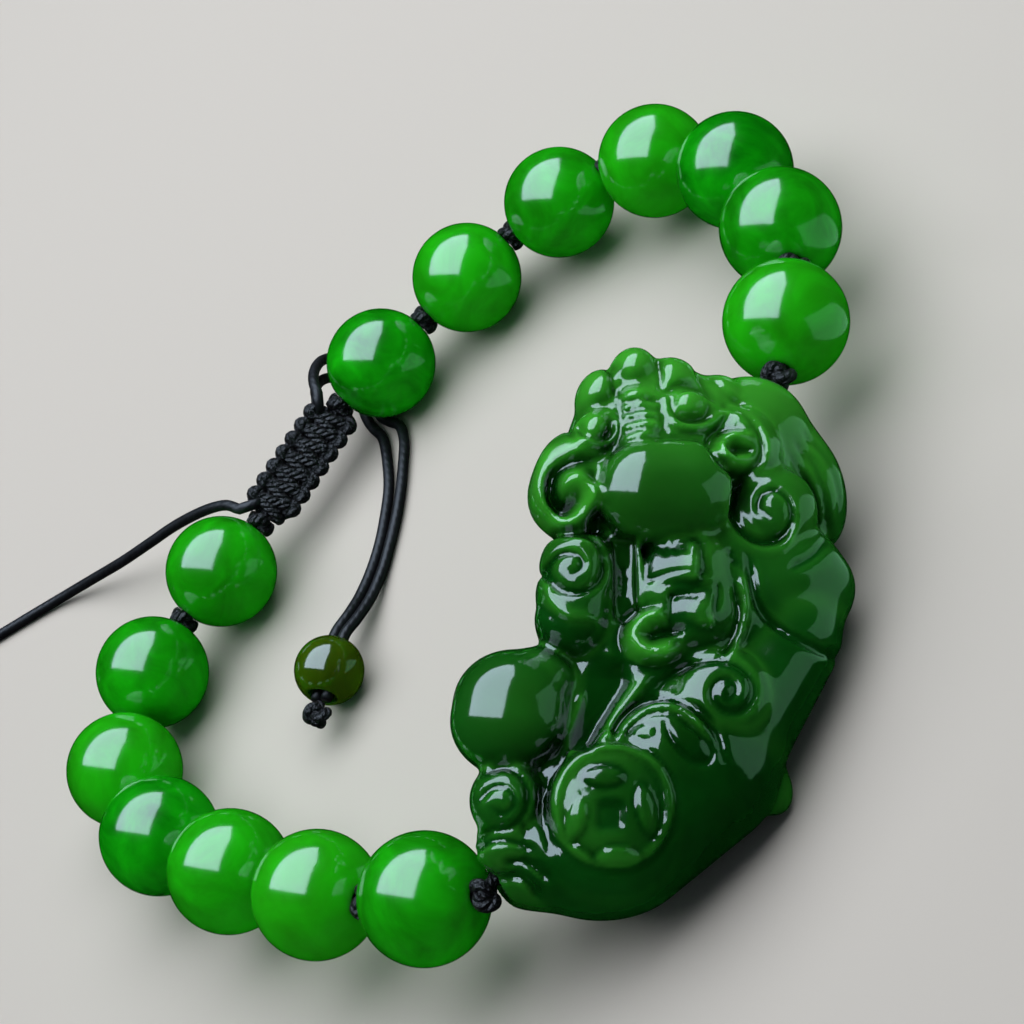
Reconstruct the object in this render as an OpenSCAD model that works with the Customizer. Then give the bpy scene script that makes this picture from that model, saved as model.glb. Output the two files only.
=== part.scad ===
// Jade bead bracelet with a carved pixiu pendant and a sliding macrame knot, lying on its side

/* [Beads] */
// Diameter of each round jade bead
bead_d = 10; // [9:0.5:10.5]
// Diameter of the hole through a bead
bead_bore = 1.6; // [1.4:0.1:2]
// Distance from knot to knot along the string
pitch = 11.1; // [11:0.1:11.6]
// Diameter of the bead on each cord end
end_bead_d = 6; // [5:0.5:6]
// Diameter of the hole through the bead on a cord end
end_bead_bore = 2.4; // [2.3:0.1:2.6]

/* [Cord and knots] */
// Diameter of the black cord
cord_d = 1; // [0.8:0.1:1]
// Diameter of the knot between two beads
knot_d = 3; // [2.6:0.1:3]
// Diameter of the knot that closes a cord end
end_knot_d = 2.6; // [2.2:0.1:3]
// Width of the sliding knot over its side loops
slide_w = 5.4; // [4.8:0.1:5.6]
// Thickness of the sliding knot
slide_h = 3; // [2.6:0.1:3.2]
// Side loops along each edge of the sliding knot
slide_loops = 7; // [5:1:8]

/* [Pendant] */
// Length of the pendant along its bore, from knot seat to knot seat
pendant_l = 43; // [42:0.1:43]
// Diameter of the bore along the pendant
pendant_bore = 1.6; // [1.4:0.1:2]
// Height of the carved figure from its foot to its brow
figure_h = 42.1; // [41:0.1:43]
// Angle of the carved face above the floor
face_tilt = 45; // [43:1:47]
// Angle between the upright of the carved figure and the bore
figure_lean = 30; // [29:1:31]

/* [Hidden] */
bead_r = bead_d / 2;
cord_r = cord_d / 2;
// Distance that pieces keep from each other
gap = 0.1;
cord_sides = 8;
// How much longer than thick a knot is
knot_draw = 0.4;

// Forms of the carved figure in its own upright frame: facets, then one ellipsoid or a row that runs through several
// [right, up, towards the viewer, half width, half height, half depth, turn to the right]
forms = [
    // Trunk from the nape to the foot
    [22, [8.7, 14.5, 0.6, 4.9, 4.9, 5.4, 0], [1.7, -1, 0.4, 8.5, 12.5, 6.6, 28], [-8, -18, 0.4, 3.4, 3, 4.6, 0]],
    // Body
    [28, [3.7, 2.5, 1.6, 10.4, 9.1, 6.4, 10]],
    // Head
    [26, [1.5, 12.2, 1.6, 7, 7.8, 6.8, 0]],
    // Knob on the brow
    [12, [-0.6, 18.4, 4.2, 1.8, 1.9, 3.2, 0]],
    // Right and left lobes of the forehead
    [14, [2.1, 17.3, 4.4, 2.3, 2.3, 3, 0], [5.9, 16.5, 3, 2.3, 2.3, 3, 0]],
    [12, [-3.2, 16.6, 3.8, 1.7, 2.1, 3.2, 20]],
    // Right and left eyes
    [14, [3, 14.6, 6.7, 2.4, 1.6, 1.9, 8]],
    [12, [-3.6, 13.6, 6.1, 1.8, 1.4, 1.9, -20]],
    // Bridge of the nose
    [10, [-0.7, 15.2, 6, 1.6, 1.6, 2.2, 0], [-0.6, 12, 6.8, 1.7, 1.6, 2.2, 0]],
    // Nose
    [20, [-0.3, 8.5, 6, 3.5, 3.8, 4.4, 0], [2.5, 8.8, 6, 3.5, 4, 4.6, 0]],
    // Right cheek, right ear and left cheek
    [16, [7.2, 12.3, 4.8, 3.2, 3.6, 3.2, 0]],
    [18, [9.5, 7.7, 4.6, 3.5, 3.5, 3.6, 0]],
    [14, [-4.7, 11.2, 4.4, 3, 2.6, 3.4, 0], [-5.4, 9.1, 4, 2.7, 2.9, 3.6, 0]],
    // Left jaw
    [14, [-5.1, 3.3, 4.8, 2.8, 2.9, 3.6, 0], [-5.3, -0.4, 4.2, 2.9, 3.1, 3.6, 0]],
    // Mouth and chin
    [16, [2.2, 3.5, 5.8, 3.3, 2.4, 3.4, 0], [2.8, 0.1, 5.4, 3.4, 3.1, 3.4, 0]],
    [12, [0.5, -2.3, 5.4, 2.1, 2.1, 2.6, 0]],
    // Right shoulder
    [18, [10.6, 3.4, 2.8, 4.6, 4.2, 4.6, 0], [11.9, 2.6, 2.2, 4.2, 3.8, 4.4, 0]],
    // Crest down the back
    [18, [13.4, 11, 0, 2.7, 4.9, 4.2, -14]],
    // Right flank
    [18, [11, -1.5, 2.6, 3.7, 4.2, 4.6, 26], [7.1, -7.5, 3.2, 4.1, 4.1, 4.6, 26]],
    // Haunch
    [18, [5.2, -6.4, 5.4, 3.6, 3.6, 3.6, 0]],
    // Rump and base
    [22, [3.3, -11, 3.7, 6.4, 6.1, 4.9, 0], [-3.4, -16.4, 2.2, 7.1, 5.5, 5.2, 0]],
    // Coin behind and coin in front
    [18, [1.8, -10.1, 5.6, 4.1, 3.7, 3.2, 0]],
    [20, [-3.1, -13.8, 5.6, 4.6, 4.6, 3.2, 0]],
    // Ball
    [24, [-9.8, -7.2, 3.4, 4.5, 4.5, 4.55, 0]],
    // Paw and toes
    [14, [-10.3, -13.6, 4, 2.7, 2.8, 3.2, 0]],
    [12, [-10.3, -16.7, 2.8, 2.3, 2, 3, 0], [-8.6, -17, 2.8, 2.3, 2, 3, 0]]
];
// Ellipsoids from one form to the next in a row
row_steps = 3;
function row(form) = concat([form[1]], len(form) > 2 ?
    [for (k = [1:len(form) - 2]) for (j = [1:row_steps]) form[k] + (form[k + 1] - form[k]) * j / row_steps] : []);
ellipsoids = [for (form = forms) each row(form)];

// How far an ellipsoid reaches along a direction
function support(e, d) =
    let (c = cos(e[6]), s = sin(e[6]))
    d * [e[0], e[1], e[2]] + norm([(c * d.x - s * d.y) * e[3], (s * d.x + c * d.y) * e[4], d.z * e[5]]);
function reach(d) = max([for (e = ellipsoids) support(e, d)]);
figure_scale = figure_h / (reach([0, 1, 0]) + reach([0, -1, 0]));

// The floor and the outside of the loop as seen from the figure's frame
down = [cos(figure_lean) * cos(face_tilt), -sin(figure_lean) * cos(face_tilt), -sin(face_tilt)];
outward = [cos(figure_lean) * sin(face_tilt), -sin(figure_lean) * sin(face_tilt), cos(face_tilt)];
// The pendant lies on the floor, so its lowest form sets the height of the bore
bore_z = reach(down) * figure_scale;
pendant_front = reach(outward) * figure_scale;
// Flat seat for the knot where the bore comes out of the carving
seat_d = 4.4;
seat_depth = 8;

// Distance from the middle of the pendant to the knot at its end
pendant_reach = 23;
// Turn of the string before each bead, counted from the pendant: [head arm, foot arm]
bead_turns = [[25, 70], [20, 10], [25, 10], [30, 5], [35, 35], [20, 45], [5, 15]];
arm_beads = len(bead_turns);
bead_count = 2 * arm_beads;
knot_count = 2 * (arm_beads + 1);
// Links over which the string comes down from the pendant's bore to the floor
ramp_links = 6;

head_arm = 1;
foot_arm = -1;
function column(arm) = arm == head_arm ? 0 : 1;
function heading(arm, i) = i < 0 ? 0 : bead_turns[i][column(arm)] + heading(arm, i - 1);
function string_z(i) = bead_r + (bore_z - bead_r) * (1 + cos(180 * min(i, ramp_links) / ramp_links)) / 2;

// One link runs from knot to knot through the middle of a bead
function link(arm, i) =
    let (dz = string_z(i + 1) - string_z(i), flat = sqrt(pitch * pitch - dz * dz), h = heading(arm, i))
    [arm * cos(h) * flat, sin(h) * flat, dz];
function raw_pivot(arm, i) = i == 0 ? [arm * pendant_reach, 0, bore_z] : raw_pivot(arm, i - 1) + link(arm, i - 1);
function raw_middle(arm, i) = (raw_pivot(arm, i) + raw_pivot(arm, i + 1)) / 2;

// Middle of the whole outline, seen from the middle of the pendant
raw_middles = [for (arm = [head_arm, foot_arm]) for (i = [0:arm_beads - 1]) raw_middle(arm, i)];
left = min([for (p = raw_middles) p.x]);
right = max([for (p = raw_middles) p.x]);
far = max([for (p = raw_middles) p.y]) + bead_r;
centre = [(left + right) / 2, (far - pendant_front) / 2, 0];

function pivot(arm, i) = raw_pivot(arm, i) - centre;
function unit(v) = v / norm(v);

// Beads 1 to 7 follow the head arm away from the pendant, and 8 to 14 come back along the foot arm
function bead_arm(n) = n <= arm_beads ? head_arm : foot_arm;
function bead_link(n) = n <= arm_beads ? n - 1 : bead_count - n;
function bead_at(n) = raw_middle(bead_arm(n), bead_link(n)) - centre;
function bead_axis(n) = unit(link(bead_arm(n), bead_link(n)));

// Knots are counted the same way, with the first and the last at the pendant
function knot_arm(n) = n <= knot_count / 2 ? head_arm : foot_arm;
function knot_link(n) = n <= knot_count / 2 ? n - 1 : knot_count - n;
function knot_at(n) = pivot(knot_arm(n), knot_link(n));

slide_from = pivot(head_arm, arm_beads);
slide_to = pivot(foot_arm, arm_beads);
slide_axis = unit(slide_to - slide_from);
// Free string between the sliding knot and the knot next to it
slide_free = 0.7;
slide_l = norm(slide_to - slide_from) - 2 * slide_free;
// How far the string goes into the sliding knot
socket_depth = 2.5;
// The flat of the sliding knot leans back from the floor
slide_roll = -50;
// Radius of a side loop as a share of its room along the edge
loop_share = 0.62;

// Direction of the string before and after a knot, going away from the pendant
function into_knot(n) = let (arm = knot_arm(n), i = knot_link(n))
    i == 0 ? [arm, 0, 0] : unit(link(arm, i - 1));
function out_of_knot(n) = let (arm = knot_arm(n), i = knot_link(n))
    i == arm_beads ? arm * slide_axis : unit(link(arm, i));

// Routes of the cord's tails, seen from the middle of the pendant
// Tail a has two strands, which go round behind bead 7, under the string and into the loop
tail_a_near = [[14.25, 51.1, 7.1], [15.3, 52.5, 7.1], [16.8, 54.1, 6.5], [18.5, 55.5, 5.3], [19.9, 56.2, 3.6],
    [20.6, 55.7, 1.9], [20.2, 54.2, 0.8], [19.1, 52.7, 0.6], [17.8, 51.2, 0.6], [16.5, 49.7, 0.6], [16.1, 48.1, 0.6],
    [15.9, 46.5, 0.6], [14.5, 44.8, 0.6], [12.2, 43.2, 0.6], [9.8, 41.7, 0.6], [7.2, 40.3, 0.6], [4.5, 39.1, 0.6],
    [1.8, 38, 0.7], [-1, 36.9, 1.2], [-3.5, 36, 2.1], [-5.4, 35.5, 2.8], [-7.4, 34.7, 3], [-11.5, 33, 3]];
tail_a_far = [[14.25, 52, 6.3], [15.3, 53.4, 5.8], [16.7, 54.6, 4.8], [18, 55.2, 3.3], [18.5, 54.8, 1.7],
    [18, 53.7, 0.8], [16.9, 52.5, 0.6], [15.8, 51, 0.6], [15, 49.4, 0.6], [14.2, 47.5, 0.6], [12, 45.2, 0.6],
    [9.6, 43.2, 0.6], [6.7, 41.5, 0.6], [4, 40.2, 0.6], [1.3, 39.2, 0.7], [-1.3, 38.2, 1.2], [-3.4, 37.2, 2.1],
    [-5.6, 36.6, 2.8], [-7.8, 35.7, 3], [-11.9, 34, 3]];
// Tail b is one line, which leaves the loop behind bead 8 and comes down to the floor
tail_b_route = [[1.45, 52.3, 6.7], [1.4, 54.3, 6.8], [0.4, 57.1, 6.4], [-1.3, 60.8, 5.4], [-3.3, 64.2, 4.3],
    [-5.5, 68.1, 3], [-7.7, 72.4, 1.7], [-10.3, 76.4, 0.8], [-13.5, 79.8, 0.6], [-16.9, 83, 0.6], [-20.4, 86.2, 0.7],
    [-23.8, 88.9, 1.4], [-26.4, 90.5, 2.6], [-28.9, 91.8, 3], [-32.8, 93.9, 3]];
end_bead_a = [-9, 34.6, 3];
end_bead_a_axis = [-0.92, -0.38, 0];
end_bead_b = [-30.2, 92.5, 3];
end_bead_b_axis = [-0.88, 0.47, 0];

// Triangles between rings of equal length, each ring joined to the next
function band(from, to, n) =
    [for (k = [0:n - 1]) let (m = (k + 1) % n) each [[from + k, to + k, to + m], [from + k, to + m, from + m]]];

module oriented(axis) {
    rotate([0, acos(axis.z), atan2(axis.y, axis.x)]) children();
}

module sweep(points, r, sides) {
    n = len(points);
    function along(i) = unit(points[min(i + 1, n - 1)] - points[max(i - 1, 0)]);
    rings = [for (i = [0:n - 1]) let (t = along(i), u = unit(cross(t, [0, 0, 1])), v = cross(u, t))
        each [for (k = [0:sides - 1]) points[i] + r * (cos(360 * k / sides) * u + sin(360 * k / sides) * v)]];
    caps = [[for (k = [sides - 1:-1:0]) k], [for (k = [0:sides - 1]) (n - 1) * sides + k]];
    polyhedron(rings, concat(caps, [for (i = [0:n - 2]) each band((i + 1) * sides, i * sides, sides)]), convexity = 8);
}

module ellipsoid(e, facets) {
    translate([e[0], e[1], e[2]]) rotate(-e[6]) scale([e[3], e[4], e[5]]) sphere(r = 1, $fn = facets);
}

module pendant() {
    color("darkgreen")
    translate([0, 0, bore_z] - centre) rotate([90 - face_tilt, 0, 0])
    difference() {
        rotate(figure_lean - 90) resize([0, figure_h, 0], auto = true)
        for (form = forms) for (e = row(form)) ellipsoid(e, form[0]);
        rotate([0, 90, 0]) cylinder(d = pendant_bore, h = 2 * pendant_l, center = true, $fn = 24);
        for (end = [-1, 1]) translate([end * (pendant_l + seat_depth) / 2, 0, 0])
            rotate([0, 90, 0]) cylinder(d = seat_d, h = seat_depth, center = true, $fn = 24);
    }
}

module bead(n) {
    color("forestgreen")
    translate(bead_at(n)) oriented(bead_axis(n))
    difference() {
        sphere(d = bead_d, $fn = 48);
        cylinder(d = bead_bore, h = bead_d + 1, center = true, $fn = 24);
    }
}

// Everything farther than a distance along a direction
module beyond(direction, distance) {
    oriented(direction) translate([-knot_d, -knot_d, distance]) cube([2 * knot_d, 2 * knot_d, knot_d]);
}

// A knot tied in the string, drawn out round the bend and squeezed between its neighbours
module knot(n) {
    i = knot_link(n);
    arm = knot_arm(n);
    translate(knot_at(n))
    difference() {
        hull() for (way = [-into_knot(n), out_of_knot(n)])
            translate(knot_draw / 2 * way) sphere(d = knot_d - knot_draw, $fn = 12);
        for (j = [i - 1, i]) if (j >= 0 && j < arm_beads)
            translate(raw_middle(arm, j) - raw_pivot(arm, i)) sphere(r = bead_r + gap, $fn = 24);
        if (i == 0) beyond(-into_knot(n), pendant_reach - pendant_l / 2 - gap);
        if (i == arm_beads) beyond(out_of_knot(n), slide_free - gap);
    }
}

// The string goes from the sliding knot round through every bead and the pendant, and back
module string() {
    // Where each bend begins, measured from the knot
    bend_from = 1.2;
    function bend(n, a, b) = let (p = knot_at(n), q = p - bend_from * a, r = p + bend_from * b)
        [q, (q + r) / 4 + p / 2, r];
    inside = slide_free + socket_depth - gap;
    bends = concat([for (n = [knot_count / 2:-1:1]) bend(n, -out_of_knot(n), -into_knot(n))],
        [for (n = [knot_count:-1:knot_count / 2 + 1]) bend(n, into_knot(n), out_of_knot(n))]);
    path = concat([slide_from + inside * slide_axis], [for (b = bends) each b], [slide_to - inside * slide_axis]);
    color("black") {
        sweep(path, cord_r, cord_sides);
        for (n = [1:knot_count]) knot(n);
    }
}

module slide_knot() {
    loop_r = slide_l / slide_loops * loop_share;
    edge = slide_w / 2 - loop_r;
    step = (slide_l - 2 * loop_r) / (2 * slide_loops - 1);
    color("black")
    translate(slide_from + slide_free * slide_axis) oriented(slide_axis) rotate(slide_roll)
    difference() {
        union() {
            linear_extrude(slide_l) intersection() {
                circle(d = slide_w - loop_r, $fn = 32);
                square([slide_h, slide_w], center = true);
            }
            for (k = [0:2 * slide_loops - 1])
                translate([0, k % 2 == 0 ? edge : -edge, loop_r + k * step]) sphere(r = loop_r, $fn = 24);
        }
        for (z = [-gap, slide_l - socket_depth])
            translate([0, 0, z]) cylinder(r = cord_r + gap, h = socket_depth + gap, $fn = 24);
    }
}

module tail(route) {
    color("black") translate(-centre) sweep(route, cord_r, cord_sides);
}

module end_bead(at, axis) {
    color("olivedrab")
    translate(at - centre) oriented(unit(axis))
    difference() {
        sphere(d = end_bead_d, $fn = 40);
        cylinder(d = end_bead_bore, h = end_bead_d + 1, center = true, $fn = 24);
    }
}

module end_knot(at, axis) {
    color("black")
    translate(at - centre + (end_bead_d + end_knot_d + gap) / 2 * unit(axis)) sphere(d = end_knot_d, $fn = 32);
}

function two_digits(n) = str(n < 10 ? "0" : "", n);
function bead_name(n) = str("bead_", two_digits(n));

pendant();
for (n = [1:bead_count]) bead(n);
string();
slide_knot();
tail(tail_a_near);  // tail_a_strand_near
tail(tail_a_far);  // tail_a_strand_far
tail(tail_b_route);  // tail_b
end_bead(end_bead_a, end_bead_a_axis);
end_bead(end_bead_b, end_bead_b_axis);
end_knot(end_bead_a, end_bead_a_axis);  // end_knot_a
end_knot(end_bead_b, end_bead_b_axis);  // end_knot_b
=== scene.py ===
# Jade bead bracelet with a carved pixiu pendant, lying on its side on a pale floor
import bpy
import math
import numpy as np
from mathutils import Matrix, Vector


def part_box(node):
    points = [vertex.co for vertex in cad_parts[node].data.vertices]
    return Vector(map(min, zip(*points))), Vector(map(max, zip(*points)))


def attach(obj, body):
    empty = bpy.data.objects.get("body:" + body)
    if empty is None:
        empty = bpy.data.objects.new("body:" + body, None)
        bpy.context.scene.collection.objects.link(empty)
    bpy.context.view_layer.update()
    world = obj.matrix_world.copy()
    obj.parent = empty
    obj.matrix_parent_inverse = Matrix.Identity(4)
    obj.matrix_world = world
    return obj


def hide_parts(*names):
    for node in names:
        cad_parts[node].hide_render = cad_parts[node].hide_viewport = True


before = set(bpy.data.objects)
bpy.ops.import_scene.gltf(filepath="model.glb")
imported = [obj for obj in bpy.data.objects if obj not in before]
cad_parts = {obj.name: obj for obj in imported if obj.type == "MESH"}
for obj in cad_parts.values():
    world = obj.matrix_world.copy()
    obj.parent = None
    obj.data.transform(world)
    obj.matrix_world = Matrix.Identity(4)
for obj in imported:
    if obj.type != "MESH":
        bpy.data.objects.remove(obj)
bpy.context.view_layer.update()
mm = 0.001

# Places on the object, in millimetres from the middle of the bracelet on the floor
loop = dict(
    middle=(7.492, 21.589, 0.0),  # where the bracelet's middle is, seen from the pendant's
    boreHeight=9.581,             # middle of the pendant's bore above the floor
    pendantReach=23.0,            # from the pendant's middle to the knot at its end
    pendantHalf=21.5,             # from the pendant's middle to the seat of that knot
    armBeads=7,
    slideFree=0.7,                # free string beside the sliding knot
)


def fromPendant(points):
    # points given from the pendant's middle, moved to the bracelet's middle
    return np.array(points, float) - np.array(loop["middle"])


def unit(v):
    v = np.asarray(v, float)
    return v / np.linalg.norm(v)


def beadMiddle(name):
    low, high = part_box(name)
    return (np.array(low) + np.array(high)) / 2 / mm


def addMesh(name, points, faces, uvs=None, materials=()):
    # points in millimetres; uvs has one pair for each corner of each face, in order
    mesh = bpy.data.meshes.new(name)
    mesh.from_pydata((np.asarray(points) * mm).tolist(), [], [tuple(int(i) for i in f) for f in faces])
    if uvs is not None:
        layer = mesh.uv_layers.new(name="UVMap")
        layer.data.foreach_set("uv", np.asarray(uvs, np.float32).ravel())
    mesh.polygons.foreach_set("use_smooth", [True] * len(mesh.polygons))
    for material in materials:
        mesh.materials.append(material)
    mesh.update()
    piece = bpy.data.objects.new(name, mesh)
    bpy.context.collection.objects.link(piece)
    return piece


def ringFaces(count, sides, closed):
    # quads between rings of points, and from the last ring back to the first if closed
    ring = np.arange(count * sides).reshape(count, sides)
    quads = np.stack([ring, np.roll(ring, -1, 1), np.roll(ring, (-1, -1), (0, 1)), np.roll(ring, -1, 0)], -1)
    return [tuple(quad) for quad in quads[:count if closed else count - 1].reshape(-1, 4)]


def tubeShape(path, radius, sides, closed=False):
    # rings carried along the path without twisting, ends closed with a point
    path = np.asarray(path, float)
    count = len(path)
    radii = np.broadcast_to(np.asarray(radius, float), (count,))
    if closed:
        ahead, behind = np.roll(path, -1, 0), np.roll(path, 1, 0)
    else:
        ahead = np.vstack([path[1:], 2 * path[-1] - path[-2]])
        behind = np.vstack([2 * path[0] - path[1], path[:-1]])
    along = ahead - behind
    along /= np.linalg.norm(along, axis=1)[:, None]
    side = np.cross(along[0], (0.0, 0.0, 1.0) if abs(along[0][2]) < 0.9 else (1.0, 0.0, 0.0))
    sideways = []
    for t in along:
        side = side - t * side.dot(t)
        side = side / np.linalg.norm(side)
        sideways.append(side)
    sideways = np.array(sideways)
    upward = np.cross(along, sideways)
    turn = 2 * math.pi * np.arange(sides) / sides
    if closed:  # spread the leftover twist over the loop
        first = sideways[0]
        last = sideways[-1] - along[0] * sideways[-1].dot(along[0])
        slip = math.atan2(np.cross(last, first).dot(along[0]), last.dot(first))
        turns = turn[None, :] + slip * (np.arange(count) / count)[:, None]
    else:
        turns = np.broadcast_to(turn, (count, sides))
    rings = path[:, None, :] + radii[:, None, None] * (
        np.cos(turns)[..., None] * sideways[:, None, :] + np.sin(turns)[..., None] * upward[:, None, :])
    distance = np.concatenate([[0], np.cumsum(np.linalg.norm(np.diff(path, axis=0), axis=1))])
    points = rings.reshape(-1, 3)
    faces = ringFaces(count, sides, closed)
    around = np.arange(sides + 1) / sides
    run = np.append(distance, distance[-1] + np.linalg.norm(path[0] - path[-1]))
    uvs = [(run[i + near], around[k + side]) for i in range(len(faces) // sides) for k in range(sides)
           for near, side in ((0, 0), (0, 1), (1, 1), (1, 0))]
    if not closed:
        points = np.vstack([points, path[0], path[-1]])
        start, end = len(points) - 2, len(points) - 1
        for k in range(sides):
            m = (k + 1) % sides
            faces += [(start, m, k), (end, (count - 1) * sides + k, (count - 1) * sides + m)]
            uvs += [(0, 0.5), (0, around[k + 1]), (0, around[k]),
                    (distance[-1], 0.5), (distance[-1], around[k]), (distance[-1], around[k + 1])]
    return points, faces, uvs


def joinShapes(shapes):
    points, faces, uvs = [], [], []
    start = 0
    for p, f, u in shapes:
        points.append(p)
        faces += [tuple(i + start for i in face) for face in f]
        uvs += u
        start += len(p)
    return np.vstack(points), faces, uvs


def smoothPath(points, steps):
    # one smooth curve through the points
    p = np.asarray(points, float)
    p = np.vstack([2 * p[0] - p[1], p, 2 * p[-1] - p[-2]])
    out = []
    for i in range(1, len(p) - 2):
        a, b, c, d = p[i - 1:i + 3]
        for t in np.arange(steps) / steps:
            out.append((2 * b + (c - a) * t + (2 * a - 5 * b + 4 * c - d) * t ** 2
                        + (3 * b - a - 3 * c + d) * t ** 3) / 2)
    out.append(p[-2])
    return np.array(out)


def pathLength(path):
    return float(np.linalg.norm(np.diff(path, axis=0), axis=1).sum())


# Camera at the photo's angle to the bracelet
view = dict(
    place=(-0.0556, -0.1419, 0.1397),
    right=(0.4895, -0.6921, -0.5305),
    down=(-0.8270, -0.1755, -0.5341),
    away=(0.2766, 0.7001, -0.6583),
    lens=86.4, sensor=36.0, clipNear=0.01, clipFar=10.0,
)
camera = bpy.data.objects.new("camera", bpy.data.cameras.new("camera"))
bpy.context.collection.objects.link(camera)
turned = Matrix((view["right"], -Vector(view["down"]), -Vector(view["away"]))).transposed()
camera.matrix_world = Matrix.Translation(view["place"]) @ turned.to_4x4()
camera.data.lens = view["lens"]
camera.data.sensor_width = view["sensor"]
camera.data.clip_start = view["clipNear"]
camera.data.clip_end = view["clipFar"]
bpy.context.scene.camera = camera
print("camera placed")


# Shared effects
def setInputs(tree, node, inputs):
    # an input takes a value, a colour or another node's output
    for name, value in inputs.items():
        socket = node.inputs[name]
        if isinstance(value, bpy.types.NodeSocket):
            tree.links.new(value, socket)
        else:
            socket.default_value = value + (1.0,) if socket.type == "RGBA" else value


def addNode(tree, kind, inputs, **settings):
    node = tree.nodes.new(kind)
    for name, value in settings.items():
        setattr(node, name, value)
    setInputs(tree, node, inputs)
    return node


def addMath(tree, operation, *values, **settings):
    node = addNode(tree, "ShaderNodeMath", dict(enumerate(values)), operation=operation, **settings)
    return node.outputs[0]


def newGroup(name, inputs, outputs):
    # a group whose inputs and outputs are all numbers
    group = bpy.data.node_groups.new(name, "ShaderNodeTree")
    for label, value in inputs.items():
        socket = group.interface.new_socket(label, in_out="INPUT", socket_type="NodeSocketFloat")
        socket.default_value = value
    for label in outputs:
        group.interface.new_socket(label, in_out="OUTPUT", socket_type="NodeSocketFloat")
    return group, group.nodes.new("NodeGroupInput"), group.nodes.new("NodeGroupOutput")


def makeClouds():
    # soft clouds inside the stone, with thin paler veins
    group, given, result = newGroup("stoneClouds", dict(Scale=150.0, Veins=0.3), ("Mask", "Grain"))
    place = addNode(group, "ShaderNodeTexCoord", {}).outputs["Object"]
    cloud = addNode(group, "ShaderNodeTexNoise", {
        "Vector": place, "Scale": given.outputs["Scale"], "Detail": 5, "Roughness": 0.55, "Distortion": 0.6})
    fine = addNode(group, "ShaderNodeTexNoise", {"Vector": place, "Scale": 900, "Detail": 3})
    vein = addNode(group, "ShaderNodeTexNoise", {"Vector": place, "Scale": 190, "Detail": 3},
                   noise_type="RIDGED_MULTIFRACTAL")
    spread = addNode(group, "ShaderNodeMapRange", {
        "Value": cloud.outputs["Fac"], "From Min": 0.32, "From Max": 0.7})
    veins = addMath(group, "MULTIPLY", vein.outputs["Fac"], given.outputs["Veins"])
    mask = addMath(group, "MULTIPLY_ADD", veins, 0.35, spread.outputs["Result"], use_clamp=True)
    setInputs(group, result, {"Mask": mask, "Grain": fine.outputs["Fac"]})
    return group


def makeTwist():
    # plies of a twisted, waxed cord that run round it, in the piece's own UV map
    group, given, result = newGroup("cordTwist", dict(Plies=3.0, Pitch=0.9, Fibre=0.25), ("Height", "Wax"))
    split = addNode(group, "ShaderNodeSeparateXYZ", {0: addNode(group, "ShaderNodeUVMap", {}).outputs["UV"]})
    run = addMath(group, "DIVIDE", split.outputs["X"], given.outputs["Pitch"])
    turn = addMath(group, "MULTIPLY", split.outputs["Y"], given.outputs["Plies"])
    wave = addMath(group, "PINGPONG", addMath(group, "ADD", run, turn), 0.5)
    rounded = addMath(group, "SMOOTH_MIN", wave, 0.4, 0.2)
    place = addNode(group, "ShaderNodeTexCoord", {}).outputs["Object"]
    fibre = addNode(group, "ShaderNodeTexNoise", {"Vector": place, "Scale": 2600, "Detail": 4})
    wax = addNode(group, "ShaderNodeTexNoise", {"Vector": place, "Scale": 700, "Detail": 2})
    height = addMath(group, "MULTIPLY_ADD", fibre.outputs["Fac"], given.outputs["Fibre"], rounded)
    setInputs(group, result, {"Height": height, "Wax": wax.outputs["Fac"]})
    return group


stoneClouds = makeClouds()
cordTwist = makeTwist()


def newMaterial(name):
    material = bpy.data.materials.new(name)
    material.use_nodes = True
    return material, material.node_tree, material.node_tree.nodes["Principled BSDF"]


def mixColours(tree, factor, first, second):
    # first and second are colours, or outputs that give one
    mix = addNode(tree, "ShaderNodeMix", {"Factor": factor, 6: first, 7: second}, data_type="RGBA")
    return mix.outputs[2]


def readAttribute(tree, name):
    return addNode(tree, "ShaderNodeAttribute", {}, attribute_name=name).outputs["Fac"]


def setSurface(tree, shader, colour, grain, rough, bump, constants):
    # colour, roughness that changes with the grain, a bump, and the shader's own constants
    spread = addNode(tree, "ShaderNodeMapRange", {"Value": grain, "To Min": rough[0], "To Max": rough[1]})
    raised = addNode(tree, "ShaderNodeBump", bump)
    setInputs(tree, shader, {"Base Color": colour, "Roughness": spread.outputs["Result"],
                             "Normal": raised.outputs["Normal"], **constants})


def jade(name, look):
    # polished stone that light goes a little way into
    material, tree, shader = newMaterial(name)
    clouds = addNode(tree, "ShaderNodeGroup", {"Scale": look["cloudScale"], "Veins": look["veins"]},
                     node_tree=stoneClouds)
    mask = clouds.outputs["Mask"]
    colour = mixColours(tree, mask, look["deep"], look["pale"])
    if "glow" in look:  # thin and raised parts let light through, and hollows are darker
        # painted glow: thin and raised parts are mixed towards a paler colour, as if light came through them
        colour = mixColours(tree, readAttribute(tree, "paintedGlow"), colour, look["glow"])
        # painted shade in the hollows; the lower right of the body is mixed towards the same dark colour
        colour = mixColours(tree, readAttribute(tree, "open"), look["hollow"], colour)
    if "tone" in look:  # each bead is a little different
        colour = mixColours(tree, readAttribute(tree, "tone"), colour, look["tone"])
    setSurface(tree, shader, colour, clouds.outputs["Grain"], look["rough"],
               {"Height": mask, "Strength": look["ripple"], "Distance": 0.00003},
               {"IOR": 1.66, "Subsurface Weight": look["depth"], "Subsurface Radius": (0.35, 1.0, 0.35),
                "Subsurface Scale": look["reach"], "Coat Weight": look["coat"], "Coat Roughness": 0.03})
    return material


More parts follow.
